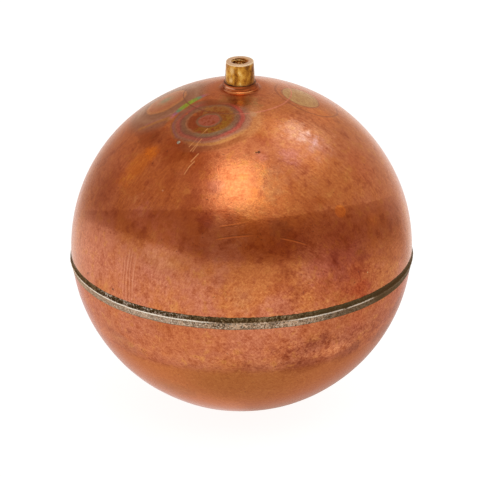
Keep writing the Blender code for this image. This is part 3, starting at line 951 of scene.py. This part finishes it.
def seam_looks(g, at, tone, grain, colour, rough):
    """A dark fillet above the ridge, a painted reflection of the dark room, with pale speckles on its left
    that are partly painted highlight; a bright ridge that is partly worn solder and partly a painted
    highlight; and a speckled band, browner on the right.
    """
    across = g.node("ShaderNodeAttribute", attribute_name="across").outputs["Fac"]
    x = g.dot(at, (1, 0, 0))
    dotted = g.smooth(near(g, at, (-38, -2), (1, 0, 0), 1.6), 22, 14)
    # The fillet above the ridge is painted dark, a painted reflection of the dark part of the room; its pale
    # speckles on the left are partly mottled solder and partly painted highlight.
    fillet_reflection = g.ramp(tone, [
        (0.42, (0.045, 0.024, 0.008)), (0.52, (0.11, 0.066, 0.026)), (0.66, (0.4, 0.3, 0.18)),
    ], "LINEAR")
    fillet_reflection = g.paint(
        fillet_reflection,
        ((0.56, 0.47, 0.4), dotted, g.smooth(tone, 0.5, 0.59)),
        ((0.085, 0.055, 0.022), g.smooth(x, 16, 40), 0.75),
    )
    speckle = g.smooth(g.noise(g.vector("ADD", at, (5, 0, 8)), 1.9, 2, 0.6), 0.54, 0.63)
    ridge = g.times(g.smooth(across, -0.13, -0.04), g.smooth(across, 0.15, 0.08))
    # The ridge's bright line is partly worn solder and partly a painted highlight of the soft box; worn takes
    # it off in the middle, dull_end fades it towards the right and nicked breaks it up.
    shine = g.times(ridge, g.smooth(g.noise(at, 0.1, 3, 0.6), 0.24, 0.4))
    worn = g.times(about(g, x, 4, 24, 14), g.smooth(tone, 0.68, 0.57))
    dull_end = g.mul_add(g.smooth(x, 24, 40), -0.35, g.smooth(x, 59.5, 56), clamp=True)
    nicked = g.mul_add(g.smooth(grain, 0.47, 0.57), -0.45, 1)
    colour = g.paint(
        colour,
        ((0.46, 0.32, 0.23), g.smooth(x, -12, -34), 0.45),
        (fillet_reflection, g.smooth(across, -0.02, -0.1)),
        ((0.84, 0.73, 0.6), speckle, g.smooth(across, 0.02, 0.1), 0.55),
        ((0.98, 0.9, 0.77), shine, g.mul_add(worn, -0.95, 1), dull_end, nicked),
        ((0.12, 0.085, 0.055), g.smooth(across, 0.86, 0.94), 0.6),
        ((0.09, 0.052, 0.022), g.smooth(x, 24, 48), g.smooth(across, 0.1, 0.2), 0.76),
        ((0.085, 0.05, 0.022), g.smooth(x, 56, 60), 0.9),
    )
    return colour, g.mix(shine, rough, (0.2, 0.2, 0.2))


def make_solder(name, light, dark, seam=False):
    """Old tin and lead, blotched grey and brown: on the seam dark above the ridge, a painted reflection, and
    bright on it, partly a painted highlight.
    """
    material, g, shader, at = new_material(name)
    mottle = g.noise(at, 0.95, 3, 0.6)
    grain = g.noise(at, 1.7, 3, 0.65)
    tone = g.mul_add(grain, 0.5, g.times(mottle, 0.5))
    tone = g.mul_add(g.minus(g.noise(at, 0.16, 2, 0.5), 0.5), 0.22, tone)
    middle = tuple(0.4 * a + 0.6 * b for a, b in zip(light, dark))
    colour = g.ramp(tone, [(0.43, dark), (0.51, middle), (0.6, light)], "LINEAR")
    rough = g.mul_add(grain, 0.45, 0.16)
    if seam:
        colour, rough = seam_looks(g, at, tone, grain, colour, rough)
        preset(shader, Specular_Tint=(0.8, 0.64, 0.5, 1))
    else:
        burnt = g.mix(g.smooth(tone, 0.48, 0.62), (0.085, 0.03, 0.01), (0.34, 0.15, 0.055))
        colour = g.mix(g.smooth(g.from_axis(at), 10, 8), colour, burnt)
    finish_metal(g, shader, colour, rough, g.add(grain, mottle), 0.00022, 0.7, Metallic=0.9)
    return material


def make_brass(name):
    """Cast brass, browned by heat, with the gold showing through on the side towards the vent in spots that
    are partly wear and partly painted highlight; a painted highlight on a front strip and on the top rim,
    painted shade on the side facing right, and the hole painted brighter inside, partly a painted reflection.
    """
    material, g, shader, at = new_material(name)
    patch = strokes(g, at, (0, 0, 1), 0.5, 0.28, 3, 0.55)
    grain = g.noise(at, 2, 3, 0.6)
    flat = g.bearing(at)

    def facing(degrees, low, high):
        """1 on the spud's side that faces that many degrees round from the front."""
        return g.smooth(g.dot(flat, way(degrees, 0)), low, high)

    def spot(degrees, down, radius, longer):
        """A soft spot on the spud's side, that far below its top."""
        middle = way(degrees, 0) * SPUD_MIDDLE + Vector((0, 0, SPUD_TOP - down))
        gap = stretch(g, g.vector("SUBTRACT", at, middle), (0, 0, 1), 1, 1 / longer)
        reach = g.mul_add(g.minus(patch, 0.5), 1.6, g.length(gap))
        return g.smooth(reach, radius, radius * 0.1)

    tone = g.mul_add(grain, 0.25, g.times(patch, 0.75))
    # Painted light on the sides: the paler strip facing the front is a painted highlight, the narrow darker
    # strip and the darker side facing right are painted shade. Each row: where it faces, where it starts and
    # is full, and how much paler it is
    painted_light_sides = ((3, 0.95, 0.99, 0.07), (-16, 0.985, 0.998, -0.07), (55, 0.62, 0.95, -0.09))
    for degrees, low, high, lift in painted_light_sides:
        tone = g.mul_add(facing(degrees, low, high), lift, tone)
    colour = g.ramp(tone, [
        (0.34, (0.2, 0.062, 0.008)), (0.43, (0.4, 0.148, 0.018)), (0.52, (0.57, 0.245, 0.032)),
        (0.62, (0.72, 0.38, 0.075)), (0.72, (0.9, 0.58, 0.21)),
    ])
    height, across = g.dot(at, (0, 0, 1)), g.from_axis(at)
    # Bright gold spots on the side towards the vent: partly worn brass, partly a painted highlight of the
    # soft box.
    worn = g.larger(spot(-35, 2.7, 1.7, 1.8), spot(-38, 7.2, 1.4, 1.3))
    # The hole painted brighter inside: partly cleaner brass, partly a painted reflection off the thread.
    inside = g.times(g.smooth(across, 4.6, 4), g.smooth(height, SPUD_TOP - 0.4, SPUD_TOP - 1))
    top = g.times(g.smooth(height, SPUD_TOP - 0.7, SPUD_TOP - 0.2), g.smooth(across, 3.4, 4.2))
    # The rounded top edge painted bright: a painted highlight.
    rim = g.times(g.smooth(across, 5.45, 5.8), g.smooth(height, SPUD_TOP - 0.45, SPUD_TOP - 0.2))
    foot = g.smooth(height, BALL + NECK_HEIGHT + 1.5, BALL + NECK_HEIGHT + 0.2)
    colour = g.paint(
        colour,
        ((1, 0.66, 0.28), worn, 0.6),
        ((1, 0.68, 0.27), inside, 0.85),
        ((0.92, 0.66, 0.43), top, 0.85),
        ((1, 0.78, 0.52), rim, 0.8),
        ((0.22, 0.08, 0.016), spot(28, 1.4, 2, 0.7), 0.6),
        ((0.22, 0.075, 0.025), foot, 0.65),
    )
    rough = g.mul_add(grain, 0.3, 0.14)
    finish_metal(g, shader, colour, rough, g.add(grain, patch), 0.00015, 0.45, Metallic=1)
    return material


# ---- stage


CAMERA_RISE, CAMERA_ROLL = 23.3, 0.5
CAMERA_AWAY = 25 * BALL
CAMERA_AIM = (3.8, 3.1)
LENS, SENSOR = 306.7, 36.0


def make_camera():
    """A long lens from the front, above level, aimed a little right of the ball's middle and above it."""
    elevation = math.radians(CAMERA_RISE)
    back = Vector((0, -math.cos(elevation), math.sin(elevation)))
    right = Vector((1, 0, 0))
    up = back.cross(right)
    data = bpy.data.cameras.new("camera")
    data.lens, data.sensor_width = LENS, SENSOR
    data.clip_start, data.clip_end = 0.1, 20
    camera = put("camera", data)
    camera.location = CENTRE + (right * CAMERA_AIM[0] + up * CAMERA_AIM[1] + back * CAMERA_AWAY) * MM
    facing = Matrix((right, up, back)).transposed()
    camera.rotation_euler = (facing @ Matrix.Rotation(-math.radians(CAMERA_ROLL), 3, "Z")).to_euler()
    bpy.context.scene.camera = camera


def make_floor():
    """A pale table that gives off light, so that the shadow on it stays faint."""
    mesh = bpy.data.meshes.new("floor")
    shape = bmesh.new()
    bmesh.ops.create_grid(shape, x_segments=1, y_segments=1, size=4.0)
    shape.to_mesh(mesh)
    shape.free()
    floor = put("floor", mesh)
    floor.location.z = cad_box[0][2] - 0.0002
    floor.visible_glossy = False
    material = bpy.data.materials.new("lit_table")
    material.use_nodes = True
    preset(material.node_tree.nodes["Principled BSDF"], Base_Color=(0.25, 0.25, 0.25, 1), Roughness=0.9,
           Specular_IOR_Level=0.1, Emission_Color=(1, 1, 1, 1), Emission_Strength=0.92)
    floor.data.materials.append(material)


def soft_box(name, azimuth, elevation, away, width, height, radiance, tint):
    """A rectangular light that faces the ball."""
    data = bpy.data.lights.new(name, "AREA")
    data.shape = "RECTANGLE"
    data.size, data.size_y = width, height
    data.energy = radiance * math.pi * width * height
    data.color = tint
    box = put(name, data)
    out = way(azimuth, elevation)
    across = way(azimuth + 90, 0)
    box.location = CENTRE + out * away
    box.rotation_euler = Matrix((across, out.cross(across), out)).transposed().to_euler()


def make_world():
    """A pale room with a white wall behind the ball, and brown from just above the table to the soft box."""
    world = bpy.data.worlds.new("studio")
    bpy.context.scene.world = world
    world.use_nodes = True
    g = Graph(world.node_tree)
    outward = g.node("ShaderNodeTexCoord").outputs["Generated"]
    split = g.node("ShaderNodeSeparateXYZ")
    g.plug(split.inputs[0], outward)
    x, y, z = split.outputs
    rise = g.times(g.math("ARCSINE", z), 180 / math.pi)
    turn = g.times(g.math("ARCTAN2", x, g.times(y, -1)), 180 / math.pi)
    bend = g.math("POWER", g.size(g.over(turn, 30)), 2)
    rightward = g.smooth(turn, -40, 40)

    def patch(at_turn, at_rise, wide, tall, inner=0.4):
        """1 inside an ellipse of directions, falling to 0 at its edge."""
        a = g.over(g.minus(turn, at_turn), wide)
        b = g.over(g.minus(rise, at_rise), tall)
        far = g.math("SQRT", g.add(g.times(a, a), g.times(b, b)))
        return g.smooth(far, 1, inner)

    table = g.mix(g.smooth(turn, 10, 90), (1.02, 1.02, 1.02), (0.8, 0.78, 0.77))
    table = g.mix(g.smooth(rise, -58, -80), table, (0.74, 0.76, 0.72))
    table = g.mix(g.smooth(rise, -14, 8), table, (0.8, 0.79, 0.76))
    far_left = g.larger(g.over(g.add(turn, 45), -94), 0)
    low_left = g.mul_add(g.math("POWER", far_left, 1.5), -25, 13)
    low_right = g.mul_add(g.times(bend, g.smooth(turn, -5, 5)), -1.5, 12)
    low_edge = g.math("MINIMUM", low_left, low_right)
    high_edge = g.minus(42, g.times(bend, g.mul_add(rightward, 1, 1.6)))
    above_table = g.smooth(g.minus(rise, low_edge), -3, 5)
    above_band = g.smooth(g.minus(rise, high_edge), -6, 5)
    room = g.paint(
        (0.6, 0.46, 0.38),
        ((0.72, 0.66, 0.6), rightward),
        ((1.25, 1.3, 1.35), patch(120, 58, 52, 24)),
        ((1.15, 1.08, 0.98), patch(5, 62, 75, 34)),
        ((1, 0.96, 0.9), g.smooth(rise, 68, 80)),
        ((1.3, 1.24, 1.1), patch(0, 62, 46, 27, 0.25)),
    )
    band = g.mix(g.over(g.size(turn), 140), (0.42, 0.27, 0.15), (0.5, 0.37, 0.28))
    band = g.mix(g.smooth(turn, -8, -55), band, (0.54, 0.42, 0.36))
    colour = g.mix(above_band, g.mix(above_table, table, band), room)
    behind = g.dot(outward, (0, 0.918, -0.396))
    behind = g.smooth(behind, math.cos(math.radians(38)), math.cos(math.radians(20)))
    high_left = g.times(g.smooth(x, 0.12, -0.12), g.smooth(z, -0.36, -0.18))
    wall = g.mix(high_left, (1.06, 1.1, 1.14), (0.84, 0.8, 0.76))
    colour = g.mix(g.times(behind, g.smooth(z, -0.54, -0.4)), colour, wall)
    pale = g.mix(g.node("ShaderNodeLightPath").outputs["Is Camera Ray"], colour, (1, 1, 1))
    g.plug(world.node_tree.nodes["Background"].inputs["Color"], pale)


def make_light():
    """One soft box above the front, and the room."""
    soft_box("soft_box", 0, 64, 1, 0.45, 0.5, 1.28, (1, 0.97, 0.88))
    make_world()
    bpy.context.scene.view_settings.view_transform = "Standard"


# ---- the scene


def place(piece, node, slot, material):
    """Give a fine piece its material and let it stand for its CAD node."""
    piece.data.materials.clear()
    piece.data.materials.append(material)
    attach(piece, "root")
    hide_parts(node)


def paint_node(name, material):
    """Give a CAD node its material."""
    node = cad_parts[name]
    node.data.materials.clear()
    node.data.materials.append(material)


make_camera()
upper_copper = make_copper("upper_copper", True)
lower_copper = make_copper("lower_copper", False)
brass = make_brass("tarnished_brass")
seam_grey = make_solder("seam_grey", (0.62, 0.4, 0.255), (0.07, 0.036, 0.014), seam=True)
spud_grey = make_solder("spud_grey", (0.64, 0.56, 0.46), (0.26, 0.2, 0.14))

place(make_upper_shell(), "upper_shell", "upper_copper", upper_copper)
place(make_lower_shell(), "lower_shell", "lower_copper", lower_copper)
place(make_seam_solder(), "seam_solder", "seam_solder", seam_grey)
place(make_spud(), "spud", "brass", brass)
place(make_neck_solder(), "neck_solder", "spud_solder", spud_grey)
place(make_vent_plug(), "vent_plug", "spud_solder", spud_grey)
paint_node("reinforcing_disc", lower_copper)
paint_node("flange_solder", spud_grey)

make_floor()
make_light()
